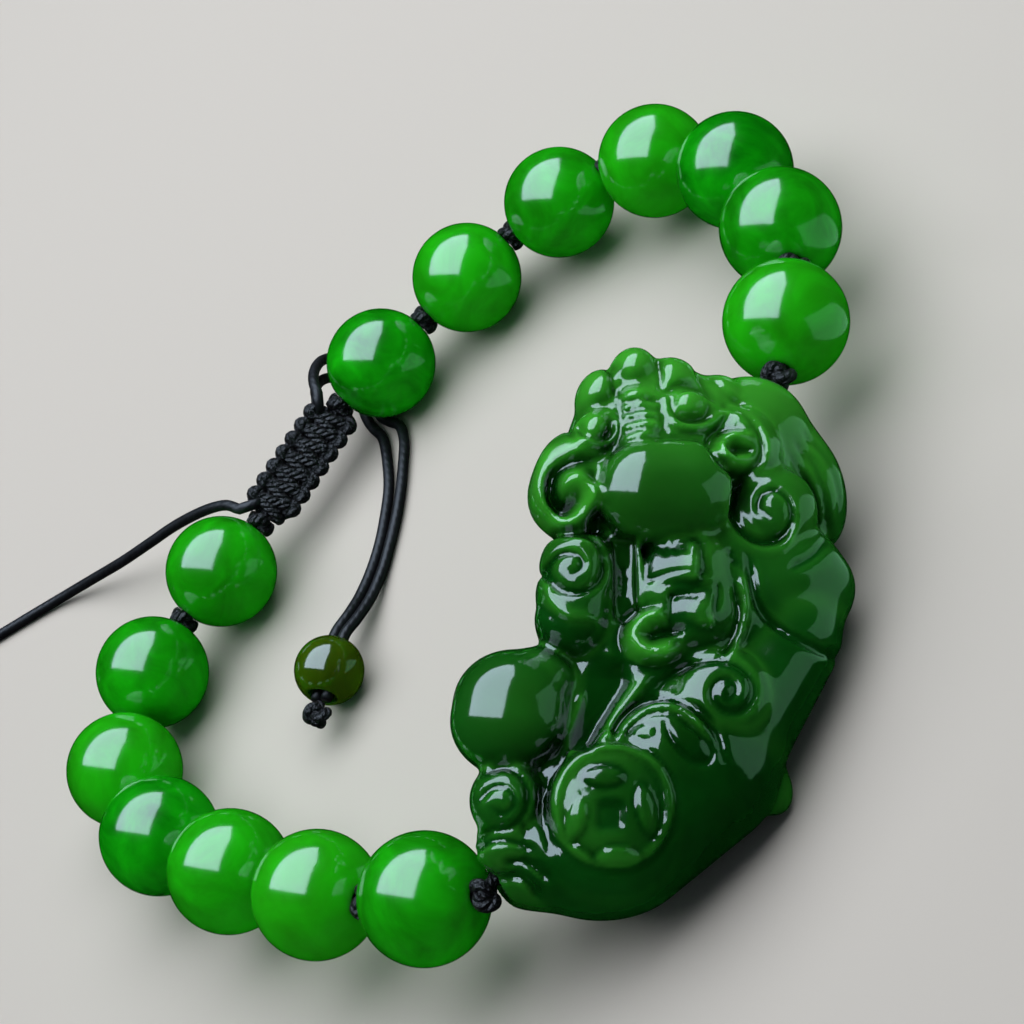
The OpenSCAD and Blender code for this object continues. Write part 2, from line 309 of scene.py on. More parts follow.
def waxedCord(name, look):
    # black cord with wax on it that catches a blue-grey light
    material, tree, shader = newMaterial(name)
    twist = addNode(tree, "ShaderNodeGroup", {"Plies": look["plies"], "Pitch": look["pitch"],
                                              "Fibre": look["fibre"]}, node_tree=cordTwist)
    wax = twist.outputs["Wax"]
    setSurface(tree, shader, mixColours(tree, wax, look["black"], look["wax"]), wax, look["rough"],
               {"Height": twist.outputs["Height"], "Strength": look["relief"], "Distance": look["lift"]},
               {"Specular IOR Level": 0.35, "Sheen Weight": 0.04, "Sheen Roughness": 0.4})
    return material


beadJade = jade("beadJade", dict(
    deep=(0.001, 0.2, 0.002), pale=(0.01, 0.68, 0.008), tone=(0.05, 0.8, 0.012),
    cloudScale=200, veins=0.5, rough=(0.1, 0.18), ripple=0.12, depth=0.35, reach=0.0022, coat=0.35))
# the glow colour below is the colour of the pendant's painted glow
pendantJade = jade("pendantJade", dict(
    deep=(0.002, 0.05, 0.004), pale=(0.007, 0.13, 0.012), glow=(0.065, 0.5, 0.04),
    # hollow is the colour of the painted shade in the hollows, also used on the lower right of the body
    hollow=(0.001, 0.024, 0.002),
    cloudScale=95, veins=0.4, rough=(0.07, 0.13), ripple=0.1, depth=0.3, reach=0.002, coat=0.1))
oliveJade = jade("oliveJade", dict(
    deep=(0.004, 0.05, 0.001), pale=(0.03, 0.14, 0.003), tone=(0.09, 0.13, 0.004),
    cloudScale=260, veins=0.3, rough=(0.07, 0.14), ripple=0.1, depth=0.4, reach=0.003, coat=0.35))
blackCord = waxedCord("blackCord", dict(
    black=(0.002, 0.002, 0.003), wax=(0.006, 0.007, 0.011), plies=3, pitch=0.9, fibre=0.4,
    rough=(0.35, 0.55), relief=0.4, lift=0.00012))
knotCord = waxedCord("knotCord", dict(
    black=(0.002, 0.002, 0.003), wax=(0.01, 0.011, 0.016), plies=4, pitch=0.6, fibre=1.1,
    rough=(0.18, 0.45), relief=1.0, lift=0.0004))
print("materials made")

# Cord tails, in millimetres from the pendant's middle
tails = dict(
    near=[(14.25, 51.1, 7.1), (15.3, 52.5, 7.1), (16.8, 54.1, 6.5), (18.5, 55.5, 5.3), (19.9, 56.2, 3.6),
          (20.6, 55.7, 1.9), (20.2, 54.2, 0.8), (19.1, 52.7, 0.6), (17.8, 51.2, 0.6), (16.5, 49.7, 0.6),
          (16.1, 48.1, 0.6), (15.9, 46.5, 0.6), (14.5, 44.8, 0.6), (12.2, 43.2, 0.6), (9.8, 41.7, 0.6),
          (7.2, 40.3, 0.6), (4.5, 39.1, 0.6), (1.8, 38, 0.7), (-1, 36.9, 1.2), (-3.5, 36, 2.1),
          (-5.4, 35.5, 2.8), (-7.4, 34.7, 3), (-11.5, 33, 3)],
    far=[(14.25, 52, 6.3), (15.3, 53.4, 5.8), (16.7, 54.6, 4.8), (18, 55.2, 3.3), (18.5, 54.8, 1.7),
         (18, 53.7, 0.8), (16.9, 52.5, 0.6), (15.8, 51, 0.6), (15, 49.4, 0.6), (14.2, 47.5, 0.6),
         (12, 45.2, 0.6), (9.6, 43.2, 0.6), (6.7, 41.5, 0.6), (4, 40.2, 0.6), (1.3, 39.2, 0.7),
         (-1.3, 38.2, 1.2), (-3.4, 37.2, 2.1), (-5.6, 36.6, 2.8), (-7.8, 35.7, 3), (-11.9, 34, 3)],
    line=[(1.45, 52.3, 6.7), (1.4, 54.3, 6.8), (0.4, 57.1, 6.4), (-1.3, 60.8, 5.4), (-3.3, 64.2, 4.3),
          (-5.5, 68.1, 3), (-7.7, 72.4, 1.7), (-10.3, 76.4, 0.8), (-13.5, 79.8, 0.6), (-16.9, 83, 0.6),
          (-20.4, 86.2, 0.7), (-23.8, 88.9, 1.4), (-26.4, 90.5, 2.6), (-28.9, 91.8, 3), (-32.8, 93.9, 3)],
    radius=0.5, sides=16, steps=6,
    hiddenNear=[(12.7, 50.4, 6.2)], hiddenFar=[(12.7, 51.2, 5.6)],  # ways on, inside the sliding knot
    hiddenLine=[(3.2, 51.0, 6.0), (2.2, 51.4, 6.5)],
    beadA=(-9, 34.6, 3), beadAxisA=(-0.92, -0.38, 0),
    beadB=(-30.2, 92.5, 3), beadAxisB=(-0.88, 0.47, 0),
    beadRadius=3.0, boreRadius=1.2, beadEdge=0.25, beadRings=32, beadSides=56, tones=dict(A=0.4, B=0.1),
    knotRadius=1.3, knotGap=0.1, knotCord=0.46, knotThickness=0.42,
    coreRadius=0.42, coreIn=1.2, coreOut=0.9, coreSides=12,  # cord in the middle of the end knot
)


def latheBead(radius, bore, edge, rings, sides):
    # a drilled bead round Z, with a softened edge at each mouth of its bore
    lipFrom, lipFlat, lipPoints, boreInset, borePoints = 0.35, 0.6, 4, 0.4, 6
    mouth = math.acos((bore + edge) / radius)
    angles = [-mouth + 2 * mouth * k / rings for k in range(rings + 1)]
    profile = [(radius * math.cos(a), radius * math.sin(a)) for a in angles]
    top = profile[-1][1]
    lip = [(bore + edge * (1 - math.sin(a)), top - edge * lipFlat * (1 - math.cos(a)))
           for a in np.linspace(lipFrom, math.pi / 2, lipPoints)]
    inner = [(bore, z) for z in np.linspace(lip[-1][1] - boreInset, boreInset - lip[-1][1], borePoints)]
    profile = np.array(profile + lip + inner + [(r, -z) for r, z in reversed(lip)])
    turn = 2 * math.pi * np.arange(sides) / sides
    points = np.stack([profile[:, :1] * np.cos(turn), profile[:, :1] * np.sin(turn),
                       np.repeat(profile[:, 1:], sides, 1)], -1).reshape(-1, 3)
    return points, ringFaces(len(profile), sides, True)


def makeBeadTree():
    # a bead on each point, turned to the point's own angles
    tree = bpy.data.node_groups.new("beadsOnString", "GeometryNodeTree")
    for label, way, kind in (("Geometry", "INPUT", "Geometry"), ("Bead", "INPUT", "Object"),
                             ("Stone", "INPUT", "Material"), ("Geometry", "OUTPUT", "Geometry")):
        tree.interface.new_socket(label, in_out=way, socket_type="NodeSocket" + kind)
    given, result = tree.nodes.new("NodeGroupInput"), tree.nodes.new("NodeGroupOutput")
    bead = addNode(tree, "GeometryNodeObjectInfo", {"Object": given.outputs["Bead"]})
    turn = addNode(tree, "GeometryNodeInputNamedAttribute", {"Name": "turn"}, data_type="FLOAT_VECTOR")
    place = addNode(tree, "GeometryNodeInstanceOnPoints", {
        "Points": given.outputs["Geometry"], "Instance": bead.outputs["Geometry"],
        "Rotation": turn.outputs["Attribute"]})
    real = addNode(tree, "GeometryNodeRealizeInstances", {"Geometry": place.outputs["Instances"]})
    smooth = addNode(tree, "GeometryNodeSetShadeSmooth", {"Geometry": real.outputs["Geometry"]})
    coat = addNode(tree, "GeometryNodeSetMaterial", {
        "Geometry": smooth.outputs["Geometry"], "Material": given.outputs["Stone"]})
    setInputs(tree, result, {"Geometry": coat.outputs["Geometry"]})
    return tree


beadTree = makeBeadTree()


def stringBeads(name, shape, middles, axes, tones, material):
    # one mesh of beads, made by the tree and then applied
    turnPerTone = 6  # beads of different tones are turned differently too
    source = addMesh(name + "Source", *shape)
    points = bpy.data.meshes.new(name)
    points.from_pydata((np.array(middles) * mm).tolist(), [], [])
    turns = []
    for axis, tone in zip(axes, tones):
        along = Vector(unit(axis)).to_track_quat("Z", "X").to_matrix()
        turns.append(tuple((along @ Matrix.Rotation(tone * turnPerTone, 3, "Z")).to_euler()))
    turn = points.attributes.new("turn", "FLOAT_VECTOR", "POINT")
    turn.data.foreach_set("vector", np.array(turns).ravel())
    tone = points.attributes.new("tone", "FLOAT", "POINT")
    tone.data.foreach_set("value", np.array(tones, float))
    holder = bpy.data.objects.new(name, points)
    bpy.context.collection.objects.link(holder)
    modifier = holder.modifiers.new("beads", "NODES")
    modifier.node_group = beadTree
    given = dict(Bead=source, Stone=material)
    for item in beadTree.interface.items_tree:
        if item.name in given:
            modifier[item.identifier] = given[item.name]
    made = bpy.data.meshes.new_from_object(holder.evaluated_get(bpy.context.evaluated_depsgraph_get()))
    made.name = name
    holder.modifiers.remove(modifier)
    holder.data = made
    bpy.data.objects.remove(source)
    return holder


def overhandKnot(middle, axis, radius, cord, thickness):
    # a closed overhand turn, flattened along the cord
    steps, sides = 72, 12
    angle = np.linspace(0, 2 * math.pi, steps, endpoint=False)
    reach = (radius - cord) / 3
    flat = np.stack([reach * (np.sin(angle) + 2 * np.sin(2 * angle)),
                     reach * (np.cos(angle) - 2 * np.cos(2 * angle)), -thickness * np.sin(3 * angle)], -1)
    turn = np.array(Vector(unit(axis)).to_track_quat("Z", "X").to_matrix())
    return tubeShape(flat @ turn.T + middle, cord, sides, closed=True)


def squeezeOut(points, middle, radius):
    # points that lie inside a neighbour's ball are pressed out onto it
    away = points - middle
    distance = np.linalg.norm(away, axis=1)
    inside = distance < radius
    points[inside] = middle + away[inside] / distance[inside][:, None] * radius
    return points


# Tails with their end beads and knots
def makeTails():
    made = {}
    for letter, tone in tails["tones"].items():
        middle = fromPendant(tails["bead" + letter])
        axis = unit(tails["beadAxis" + letter])
        sizes = [tails[size] for size in ("beadRadius", "boreRadius", "beadEdge", "beadRings", "beadSides")]
        bead = stringBeads("endBead" + letter, latheBead(*sizes), [middle], [axis], [tone], oliveJade)
        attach(bead, "root")
        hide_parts("end_bead_" + letter.lower())
        place = middle + axis * (tails["beadRadius"] + tails["knotRadius"] + tails["knotGap"])
        turns = overhandKnot(place, axis, tails["knotRadius"], tails["knotCord"], tails["knotThickness"])
        core = tubeShape([place - axis * tails["coreIn"], place, place + axis * tails["coreOut"]],
                         tails["coreRadius"], tails["coreSides"])
        knot = addMesh("endKnot" + letter, *joinShapes([turns, core]), materials=[knotCord])
        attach(knot, "root")
        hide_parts("end_knot_" + letter.lower())
        made[letter] = [bead, knot]
    for label, node, held in (("near", "tail_a_strand_near", []), ("far", "tail_a_strand_far", made["A"]),
                              ("line", "tail_b", made["B"])):
        path = smoothPath(fromPendant(tails[label]), tails["steps"])
        hidden = fromPendant(tails["hidden" + label.capitalize()])
        shape = tubeShape(np.vstack([hidden, path]), tails["radius"], tails["sides"])
        piece = addMesh("tail" + label.capitalize(), *shape, materials=[blackCord])
        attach(piece, "root")
        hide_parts(node)
        print("tail", label, round(pathLength(path), 1), "mm")


makeTails()
print("tails laid")


# Beads, the string through them and the knots tied in it
beads = dict(
    radius=5.0, bore=0.8, edge=0.22, rings=44, sides=72,
    tones=[0.35, 0.1, 0.0, 0.3, 0.15, 0.25, 0.05, 0.2, 0.1, 0.3, 0.0, 0.25, 0.4, 0.15],
)
string = dict(
    radius=0.5, sides=12, bendFrom=1.2, bendSteps=5,
    knotRadius=1.5, knotCord=0.52, knotThickness=0.42,
    clearance=0.03,   # that a knot keeps from a bead or from the sliding knot
    intoSlide=3.0,    # from the last knot's middle to the string's end inside the sliding knot
    knotNear=8.0,     # only beads nearer than this shape a knot
)


def arm(headSide):
    # bead middles from the pendant outwards, and the places of the knots beside them
    sign = 1 if headSide else -1
    count = loop["armBeads"]
    numbers = range(1, count + 1) if headSide else range(2 * count, count, -1)
    middles = [beadMiddle("bead_%02d" % n) for n in numbers]
    knots = [fromPendant([sign * loop["pendantReach"], 0, loop["boreHeight"]])]
    for middle in middles:
        knots.append(2 * middle - knots[-1])
    return middles, knots


headBeads, headKnots = arm(True)
footBeads, footKnots = arm(False)
slideFrom, slideTo = headKnots[-1], footKnots[-1]
slideAxis = unit(slideTo - slideFrom)


def makeBeads():
    middles, axes = [], []
    for armMiddles, knots in ((headBeads, headKnots), (footBeads[::-1], footKnots[::-1])):
        for k, middle in enumerate(armMiddles):
            middles.append(middle)
            axes.append(knots[k + 1] - knots[k])
    shape = latheBead(*[beads[k] for k in ("radius", "bore", "edge", "rings", "sides")])
    piece = stringBeads("jadeBeads", shape, middles, axes, beads["tones"], beadJade)
    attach(piece, "root")
    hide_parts(*["bead_%02d" % n for n in range(1, 2 * loop["armBeads"] + 1)])


def makeString():
    middles = headBeads + footBeads
    stops = headKnots[::-1] + footKnots
    count = len(headKnots)
    # Ways at the ends of the two arms, where no next knot gives them
    behind = {0: slideAxis, count: np.array([1.0, 0, 0])}
    ahead = {count - 1: np.array([-1.0, 0, 0]), 2 * count - 1: -slideAxis}
    route = [slideFrom + slideAxis * string["intoSlide"]]
    knots = []
    for k, middle in enumerate(stops):
        before = behind[k] if k in behind else unit(stops[k - 1] - middle)
        after = ahead[k] if k in ahead else unit(stops[k + 1] - middle)
        start, end = middle + before * string["bendFrom"], middle + after * string["bendFrom"]
        for t in np.linspace(0, 1, string["bendSteps"]):
            route.append((1 - t) ** 2 * start + 2 * t * (1 - t) * middle + t ** 2 * end)
        knots.append((middle, before, after))
    route.append(slideTo - slideAxis * string["intoSlide"])
    shapes = [tubeShape(route, string["radius"], string["sides"])]
    for middle, before, after in knots:
        points, faces, uvs = overhandKnot(middle, after - before, string["knotRadius"], string["knotCord"],
                                          string["knotThickness"])
        for bead in middles:
            if np.linalg.norm(bead - middle) < string["knotNear"]:
                points = squeezeOut(points, bead, beads["radius"] + string["clearance"])
        for way in (before, after):  # flat against the sliding knot
            if abs(way.dot(slideAxis)) > 0.999:
                far = (points - middle).dot(way) - (loop["slideFree"] - string["clearance"])
                points = points - np.clip(far, 0, None)[:, None] * way
        shapes.append((points, faces, uvs))
    piece = addMesh("knottedString", *joinShapes(shapes), materials=[knotCord])
    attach(piece, "root")
    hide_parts("string")


makeBeads()
makeString()
print("beads strung")

# Sliding knot: a flat knot of two working cords over two filler cords
slideKnot = dict(
    turns=14, halfWidth=1.5, front=0.6, cord=0.46, cordSides=12, roll=-50.0, steps=4,
    filler=0.5, fillerPlace=0.8, fillerInset=0.1, fillerPoints=12,
    bumpCord=0.62, bumpSides=14, bumpOut=1.95, bumpIn=1.35, bumpFront=0.25,
)


def makeSlideKnot():
    length = float(np.linalg.norm(slideTo - slideFrom)) - 2 * loop["slideFree"]
    heading, tilt = math.atan2(slideAxis[1], slideAxis[0]), math.acos(slideAxis[2])
    turn = np.array(Matrix.Rotation(heading, 3, "Z") @ Matrix.Rotation(tilt, 3, "Y")
                    @ Matrix.Rotation(math.radians(slideKnot["roll"]), 3, "Z"))
    start = slideFrom + slideAxis * loop["slideFree"]
    margin = slideKnot["cord"]
    step = (length - 2 * margin) / slideKnot["turns"]
    half, front = slideKnot["halfWidth"], slideKnot["front"]
    out, inward, lift = slideKnot["bumpOut"], slideKnot["bumpIn"], slideKnot["bumpFront"]
    between = (out + inward) / 2
    shapes = []

    def lay(path, radius, sides):
        shapes.append(tubeShape(np.array(path) @ turn.T + start, radius, sides))

    for face in (1, -1):
        path = []
        for k in range(slideKnot["turns"]):
            side = face * (-1) ** k
            z = margin + k * step
            path += [(0.5 * -face * front, side * half, z),
                     (-face * front, side * half * 0.5, z + 0.3 * step),
                     (-face * front, -side * half * 0.5, z + 0.7 * step)]
            if face == 1:  # the loop that the other cord is held by, on one edge and then the other
                edgeLoop = [(lift, side * inward, z - 0.75 * step), (-lift, side * between, z - 0.45 * step),
                            (-lift * 1.5, side * out, z), (-lift, side * between, z + 0.45 * step),
                            (lift, side * inward, z + 0.75 * step)]
                lay(smoothPath(edgeLoop, slideKnot["steps"]), slideKnot["bumpCord"], slideKnot["bumpSides"])
        path.append((0, face * (-1) ** slideKnot["turns"] * half, length - margin))
        lay(smoothPath(path, slideKnot["steps"]), slideKnot["cord"], slideKnot["cordSides"])
    inset = slideKnot["fillerInset"]
    heights = np.linspace(inset, length - inset, slideKnot["fillerPoints"])
    for side in (1, -1):
        line = [(0, side * slideKnot["fillerPlace"], z) for z in heights]
        lay(line, slideKnot["filler"], slideKnot["cordSides"])
    piece = addMesh("slidingKnot", *joinShapes(shapes), materials=[knotCord])
    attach(piece, "root")
    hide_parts("slide_knot")


makeSlideKnot()
print("sliding knot tied")

# Carved pendant, in the figure's own upright frame: right, up and towards the viewer, in millimetres
# A form is a row of one or more ellipsoids: middle, half sizes and its turn to the right
carving = dict(
    tilt=45.0, lean=30.0, boreRadius=0.8, seatRadius=2.2,
    step=0.223, reach=3.2, outside=6.0,           # grid step, margin round a form, and value far from all
    blend=1.3, fineBlend=0.35, sweep=8, polish=3,
    widen=1.2, reliefFrom=0.5, reliefFull=3.5,    # cuts are widened, and all lines fade out towards the back
    heightLow=0.03, heightHigh=22.66, trim=0.4,   # kept between the floor and the top of the solid
    low=(-16.0, -23.0, -8.0), high=(17.5, 21.5, 12.0),
    bigForms=[
        [(8.7, 14.5, 0.6, 4.9, 4.9, 5.4, 0), (1.7, -1, 0.4, 8.5, 12.5, 6.6, 28),
         (-8, -18, 0.4, 3.4, 3, 4.6, 0)],
        [(3.7, 2.5, 1.6, 10.4, 9.1, 6.4, 10)],
        [(1.5, 12.2, 1.6, 7, 7.8, 6.8, 0)],
        [(10.6, 3.4, 2.8, 4.6, 4.2, 4.6, 0), (11.9, 2.6, 2.2, 4.2, 3.8, 4.4, 0)],
        [(13.4, 11, 0, 2.7, 4.9, 4.2, -14)],
        [(11, -1.5, 2.6, 3.7, 4.2, 4.6, 26), (7.1, -7.5, 3.2, 4.1, 4.1, 4.6, 26)],
        [(3.3, -11, 3.7, 6.4, 6.1, 4.9, 0), (-3.4, -16.4, 2.2, 7.1, 5.5, 5.2, 0)],
    ],
    fineForms=[
        [(-0.6, 18.4, 4.2, 1.8, 1.9, 3.2, 0)],
        [(2.1, 17.3, 4.4, 2.3, 2.3, 3, 0)],
        [(5.9, 16.5, 3, 2.3, 2.3, 3, 0)],
        [(-3.2, 16.6, 3.8, 1.7, 2.1, 3.2, 20)],
        [(3, 14.6, 6.3, 2.4, 1.6, 1.9, 8)],
        [(-3.6, 13.6, 5.7, 1.8, 1.4, 1.9, -20)],
        [(-0.7, 15.2, 6, 1.6, 1.6, 2.2, 0), (-0.6, 12, 6.8, 1.7, 1.6, 2.2, 0)],
        [(-0.4, 8.5, 7.2, 3.5, 3.8, 3.4, 0), (2.6, 8.8, 7.2, 3.5, 3.8, 3.4, 0)],
        [(7.2, 12.3, 4.8, 3.2, 3.6, 3.2, 0)],
        [(9.5, 7.7, 4.6, 3.5, 3.5, 3.6, 0)],
        [(-4.7, 11.2, 4.4, 3, 2.6, 3.4, 0), (-5.4, 9.1, 4, 2.7, 2.9, 3.6, 0)],
        [(-5.1, 3.3, 4.8, 2.8, 2.9, 3.6, 0), (-5.3, -0.4, 4.2, 2.9, 3.1, 3.6, 0)],
        [(2.2, 3.2, 7.2, 3.3, 2.8, 1.9, 0), (2.8, 0.1, 6.8, 3.4, 3.1, 2.0, 0)],
        [(0.5, -2.3, 5.4, 2.1, 2.1, 2.6, 0)],
        [(5.2, -6.4, 6.6, 3.6, 3.6, 2.4, 0)],
        [(1.8, -10.1, 6.8, 4.1, 3.7, 2.0, 0)],
        [(-3.1, -13.8, 6.8, 4.6, 4.6, 2.0, 0)],
        [(-9.7, -6.6, 3.4, 4.4, 4.0, 4.5, 0), (-9.9, -7.8, 3.4, 4.4, 4.0, 4.5, 0)],
        [(-10.3, -13.6, 4, 2.7, 2.8, 3.2, 0)],
        [(-10.3, -16.7, 2.8, 2.3, 2, 3, 0), (-8.6, -17, 2.8, 2.3, 2, 3, 0)],
        [(-7.7, -4.8, 3.6, 2.7, 2.3, 3.2, 30)],
        [(2.9, 15.0, 8.0, 1.15, 1.05, 0.95, 0)],
        [(-4.0, 13.4, 7.3, 0.95, 0.9, 0.9, 0)],
        [(8.7, -12.0, 3.0, 1.8, 2.6, 1.8, -28)],
    ],
)

# Lines cut into the carving: points right and up, then width and depth in millimetres
cuts = [
    # Right eye: hollow round the ball, and the crease above it
    ([(1.5, 15.4), (1.6, 14.2), (2.7, 13.7), (4.0, 14.1), (4.6, 15.2)], 0.22, 0.45),
    ([(1.1, 15.9), (2.2, 16.6), (3.8, 16.5), (5.2, 15.7)], 0.2, 0.35),
    ([(1.0, 14.6), (1.7, 13.2), (2.9, 12.8), (4.6, 13.1), (6.0, 14.5)], 0.2, 0.35),
    # Left eye
    ([(-5.1, 13.8), (-5.0, 12.7), (-3.9, 12.2), (-2.9, 12.8), (-2.8, 14.0)], 0.2, 0.4),
    ([(-5.5, 13.9), (-5.5, 12.2), (-3.8, 11.5), (-2.4, 12.3), (-2.1, 13.6)], 0.2, 0.35),
    # Bridge of the nose: two sides and the wrinkles across it
    ([(-2.0, 15.6), (-2.1, 14.0), (-2.3, 12.4)], 0.18, 0.35),
    ([(0.9, 15.5), (0.8, 14.0), (1.1, 12.3)], 0.18, 0.35),
    *[([(-1.9, v), (-0.6, v + 0.2), (0.7, v)], 0.16, 0.45) for v in (15.2, 14.4, 13.6)],
    ([(-1.9, 12.7), (-0.6, 12.9), (0.8, 12.8)], 0.18, 0.45),
    # Creases of the forehead
    ([(-2.5, 18.4), (-2.6, 16.9), (-2.2, 15.9)], 0.2, 0.35),
    ([(0.9, 18.9), (1.0, 17.4), (0.9, 16.2)], 0.2, 0.35),
    ([(3.9, 18.3), (4.2, 17.1), (4.9, 16.2)], 0.2, 0.3),
    ([(5.2, 17.9), (6.2, 16.4), (7.4, 15.6)], 0.18, 0.25),
    # Above the nose
    ([(-3.7, 10.9), (-2.4, 11.7), (-0.2, 12.1), (2.2, 12.3), (4.2, 11.9), (5.3, 11.0)], 0.22, 0.35),
    # Rim of the right cheek, down round the ear and into its spiral
    ([(5.9, 15.4), (7.3, 14.4), (8.2, 12.8), (8.2, 11.2), (7.2, 10.2), (6.3, 8.9), (6.0, 7.3), (6.5, 5.9),
      (7.8, 5.0), (9.3, 5.2), (10.2, 6.3), (10.1, 7.8), (9.2, 8.7), (8.2, 8.4), (7.9, 7.4),
      (8.6, 6.7)], 0.22, 0.5),
    # Round the right cheek's hook
    ([(7.3, 13.3), (5.9, 13.4), (4.6, 12.8), (4.1, 11.5), (4.8, 10.2), (6.2, 9.9), (7.6, 10.2)], 0.26, 0.45),
    ([(7.4, 11.7), (6.7, 11.75), (6.1, 11.7)], 0.28, 0.6),
    # Left cheek's scroll
    ([(-3.6, 10.9), (-5.3, 10.7), (-6.8, 9.9), (-7.0, 8.2), (-6.2, 7.3), (-5.4, 7.8)], 0.35, 0.65),
    ([(-3.2, 5.9), (-5.2, 5.4), (-7.4, 5.6)], 0.25, 0.4),
    # Left jaw's spiral and the two lines under it
    ([(-6.3, 5.2), (-4.6, 4.9), (-3.7, 3.4), (-3.9, 1.8), (-5.3, 0.8), (-6.8, 1.2), (-7.5, 2.6), (-6.8, 3.6),
      (-5.6, 3.5), (-5.2, 2.7), (-5.9, 2.2)], 0.22, 0.5),
    ([(-8.1, 1.6), (-7.7, 0.1), (-6.5, -1.1), (-4.6, -1.3)], 0.2, 0.35),
    ([(-7.5, 1.1), (-6.9, -0.1), (-5.7, -0.8), (-4.2, -0.7)], 0.16, 0.3),
    # Mouth: teeth, lips and the crease at its corner
    ([(-0.5, 4.3), (0.9, 4.7), (2.8, 4.8), (3.6, 4.2)], 0.2, 0.4),
    *[([(u - 0.05, v), (u, 3.5)], 0.14, 0.4) for u, v in ((0.8, 4.7), (1.5, 4.8), (2.2, 4.8))],
    ([(3.4, 4.3), (3.5, 2.9), (3.7, 2.1)], 0.18, 0.3),
    ([(-0.6, 1.6), (1.2, 2.1), (3.8, 2.1)], 0.2, 0.4),
    ([(0.1, 1.3), (2.2, 1.3), (4.1, 1.4)], 0.16, 0.3),
    ([(0.9, 0.6), (2.6, 0.9), (4.0, 1.2)], 0.18, 0.35),
    ([(4.5, 1.6), (4.3, 0.0), (3.5, -1.4)], 0.2, 0.35),
    ([(0.6, 0.4), (0.8, -0.9), (1.7, -1.5), (3.0, -1.4)], 0.2, 0.3),
    # Outer edge of the muzzle
    ([(5.9, 1.4), (6.2, -0.6), (5.6, -2.6), (4.6, -3.8)], 0.24, 0.4),
    # Round the hook of the chin
    ([(0.8, -0.1), (-1.2, -0.3), (-2.4, -2.0), (-1.7, -3.9), (0.3, -4.3), (1.9, -3.7)], 0.25, 0.4),
    ([(2.0, -1.7), (1.1, -1.9), (0.3, -2.1), (-0.2, -2.3)], 0.34, 0.85),
    # Spiral of the haunch
    ([(0.3, -6.0), (1.2, -4.9), (2.9, -4.2), (4.9, -4.1), (6.4, -5.0), (6.8, -6.5), (5.9, -7.8), (4.5, -7.7),
      (3.8, -6.7), (4.2, -5.7), (5.2, -5.6), (5.5, -6.4), (4.9, -6.9)], 0.22, 0.45),
    # Back coin: its rim, and two raised marks inside it
    ([(-3.3, -9.9), (-2.2, -7.9), (-0.2, -6.8), (2.0, -7.2), (3.9, -9.1), (4.6, -11.2)], 0.22, 0.4),
    ([(-2.3, -9.8), (-1.4, -8.5), (-0.1, -7.9), (1.6, -8.2), (3.1, -9.7)], 0.18, 0.3),
    ([(-0.3, -9.9), (-1.2, -9.8), (-2.0, -9.4), (-1.8, -8.8), (-1.0, -8.6), (-0.2, -8.9),
      (-0.3, -9.9)], 0.16, 0.3),
    ([(0.3, -8.7), (0.9, -10.0), (2.2, -11.3), (3.4, -11.4), (3.6, -10.5), (2.6, -9.2),
      (1.3, -8.4)], 0.18, 0.4),
    # Front of the foot and the paw
    ([(-12.0, -12.1), (-10.6, -11.6), (-9.3, -12.8), (-9.3, -14.5), (-10.3, -15.7),
      (-11.5, -15.9)], 0.2, 0.4),
    ([(-12.4, -13.9), (-11.6, -13.1), (-10.5, -13.2), (-10.1, -14.2), (-10.8, -14.9),
      (-11.5, -14.5)], 0.18, 0.4),
    ([(-12.6, -17.2), (-11.4, -16.6), (-9.9, -16.7), (-8.8, -17.3)], 0.22, 0.55),
    ([(-12.4, -16.5), (-11.3, -15.7)], 0.2, 0.45),
    ([(-10.7, -17.9), (-9.1, -18.0), (-7.4, -19.3)], 0.22, 0.55),
    ([(-10.8, -18.8), (-9.3, -19.0), (-8.0, -20.3)], 0.22, 0.5),
    ([(-9.4, -16.6), (-9.2, -15.9), (-9.5, -15.3)], 0.14, 0.3),
    # Crease between the paw and the coin
    ([(-7.9, -13.0), (-8.0, -15.0), (-7.4, -17.6)], 0.22, 0.35),
    # Folds of the chest
    ([(-2.6, -4.6), (-3.8, -7.2), (-5.0, -10.0)], 0.3, 0.3),
    # Lower edge of the shoulder and the step behind it
    ([(7.0, 3.6), (7.6, 0.4), (9.6, -1.7), (12.2, -2.9), (14.4, -2.6)], 0.3, 0.55),
    ([(10.2, 3.0), (11.8, 3.9), (13.4, 5.6)], 0.24, 0.3),
    # Strands of the crest
    ([(11.4, 13.4), (12.8, 11.9), (13.7, 9.6), (14.2, 7.2)], 0.2, 0.22),
    ([(10.8, 12.4), (12.0, 10.8), (12.8, 8.8), (13.1, 6.8)], 0.2, 0.22),
    ([(12.2, 14.2), (13.8, 12.6), (14.8, 10.2), (15.1, 7.8)], 0.18, 0.2),
]

